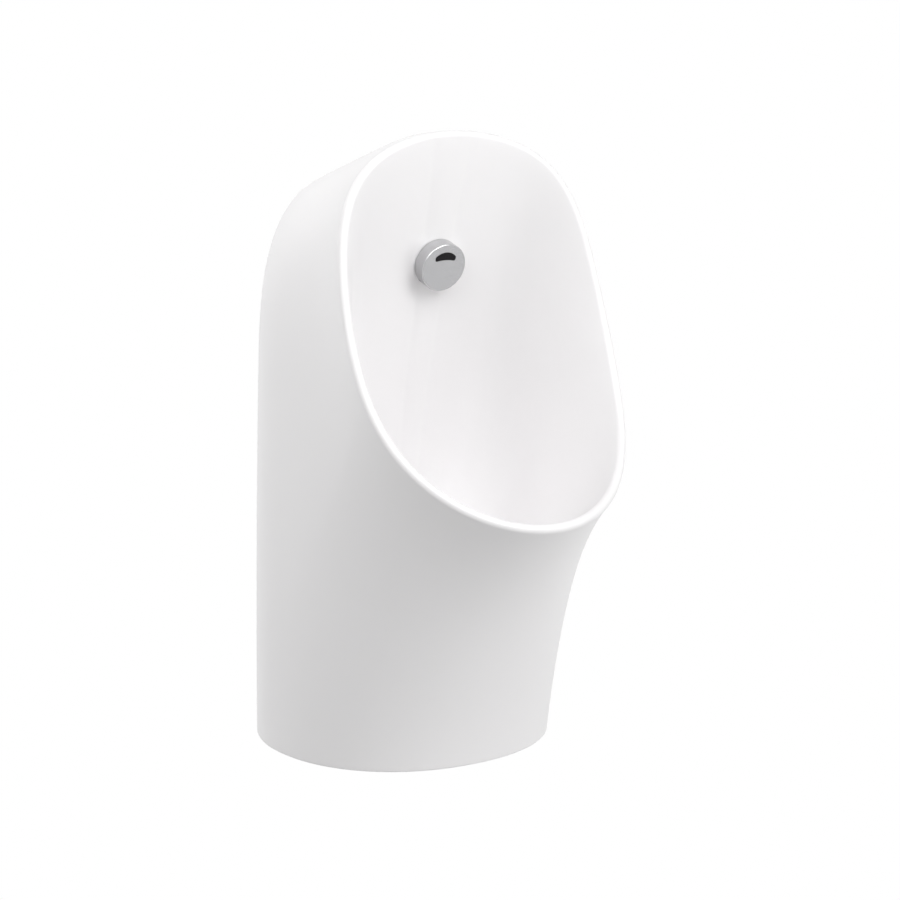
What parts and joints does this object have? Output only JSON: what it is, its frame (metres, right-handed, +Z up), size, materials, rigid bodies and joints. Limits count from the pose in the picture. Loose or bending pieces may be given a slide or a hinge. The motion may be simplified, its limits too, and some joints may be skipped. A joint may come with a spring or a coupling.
{
  "type": "wall hung urinal",
  "caption": "Wall hung urinal: a sloping oval rim over a deep bowl in a tapered skirt, with a round sensor flush cap, flush valve, hanging plate and bottle trap.",
  "frame": {"origin": "centre of the four wall screws, on the wall's plane", "axes": "+Z up, +Y into the wall, so the bowl faces -Y, and +X to the right of a person facing the wall"},
  "size_m": [0.2988, 0.3809, 0.6195],
  "materials": {
    "glazed_ceramic": "white gloss glaze",
    "chrome_plate": "satin chrome plate",
    "brass": "machined",
    "nickel_nut": "nickel plate",
    "dark_window": "dark infrared window",
    "rubber": "moulded",
    "cable": "round cable jacket",
    "hose": "braided hose with crimped ends",
    "steel": "zinc plated or stainless",
    "polished_steel": "polished",
    "grey_plastic": "moulded",
    "coil_resin": "overmoulded winding",
    "board": "circuit board",
    "cell_sleeve": "plain sleeve",
    "white_plastic": "moulded"
  },
  "bodies": {
    "urinal": {"ceramic_body": "glazed_ceramic", "spreader_cap": "chrome_plate", "stop_bonnet": "chrome_plate", "stop_valve_body": "chrome_plate", "union_nut": "chrome_plate", "spreader_core": "brass", "spreader_backnut": "brass", "inlet_tee": "brass", "cable_gland": "brass", "hose_nuts": "nickel_nut", "sensor_lens": "dark_window", "front_gasket": "rubber", "rear_washer": "rubber", "flat_seals": "rubber", "diaphragm": "rubber", "hook_pads": "rubber", "waste_seal": "rubber", "waste_washer": "rubber", "slip_seal": "rubber", "outlet_seal": "rubber", "sensor_cable": "cable", "valve_cable": "cable", "flush_hose": "hose", "mounting_plate": "steel", "hanger_hooks": "steel", "hook_rivets": "steel", "cap_grub_screw": "steel", "valve_screws": "steel", "box_screws": "steel", "door_pin": "steel", "core_tube": "steel", "plunger_spring": "steel", "inlet_filter": "steel", "battery_contacts": "steel", "coil_nut": "steel", "waste_fitting": "polished_steel", "sensor_housing": "grey_plastic", "control_box": "grey_plastic", "valve_block": "grey_plastic", "valve_bonnet": "grey_plastic", "solenoid_coil": "coil_resin", "sensor_board": "board", "control_board": "board", "batteries": "cell_sleeve", "trap_body": "white_plastic", "dip_pipe": "white_plastic", "slip_nut": "white_plastic", "outlet_pipe": "white_plastic", "outlet_nut": "white_plastic", "waste_backnut": "white_plastic"},
    "stop_lever": {"stop_handle": "chrome_plate", "handle_screw": "steel", "stop_stem": "brass", "stop_ball": "brass"},
    "valve_plunger": {"plunger": "steel"},
    "strainer": {"drain_strainer": "polished_steel"},
    "cell_door": {"battery_door": "grey_plastic", "door_contacts": "steel"},
    "cup": {"trap_cup": "white_plastic", "cup_seal": "rubber"}
  },
  "joints": [
    {"name": "stop_valve_turn", "type": "hinge", "parent": "urinal", "child": "stop_lever", "pos_m": [0.034, -0.06, -0.128], "axis": [0, 1, 0], "range_deg": [0, 90]},
    {"name": "plunger_travel", "type": "slide", "parent": "urinal", "child": "valve_plunger", "axis": [0, 0, 1], "range_m": [0, 0.0025], "stiffness_N_per_m": 150, "springref_m": -0.006, "deforming": ["plunger_spring"]},
    {"name": "strainer_lift", "type": "slide", "parent": "urinal", "child": "strainer", "axis": [0, 0, 1], "range_m": [0, 0.06]},
    {"name": "battery_door_swing", "type": "hinge", "parent": "urinal", "child": "cell_door", "pos_m": [-0.062, -0.0075, -0.0975], "axis": [1, 0, 0], "range_deg": [0, 95]},
    {"name": "trap_cup_drop", "type": "slide", "parent": "urinal", "child": "cup", "axis": [0, 0, -1], "range_m": [0, 0.06]}
  ]
}
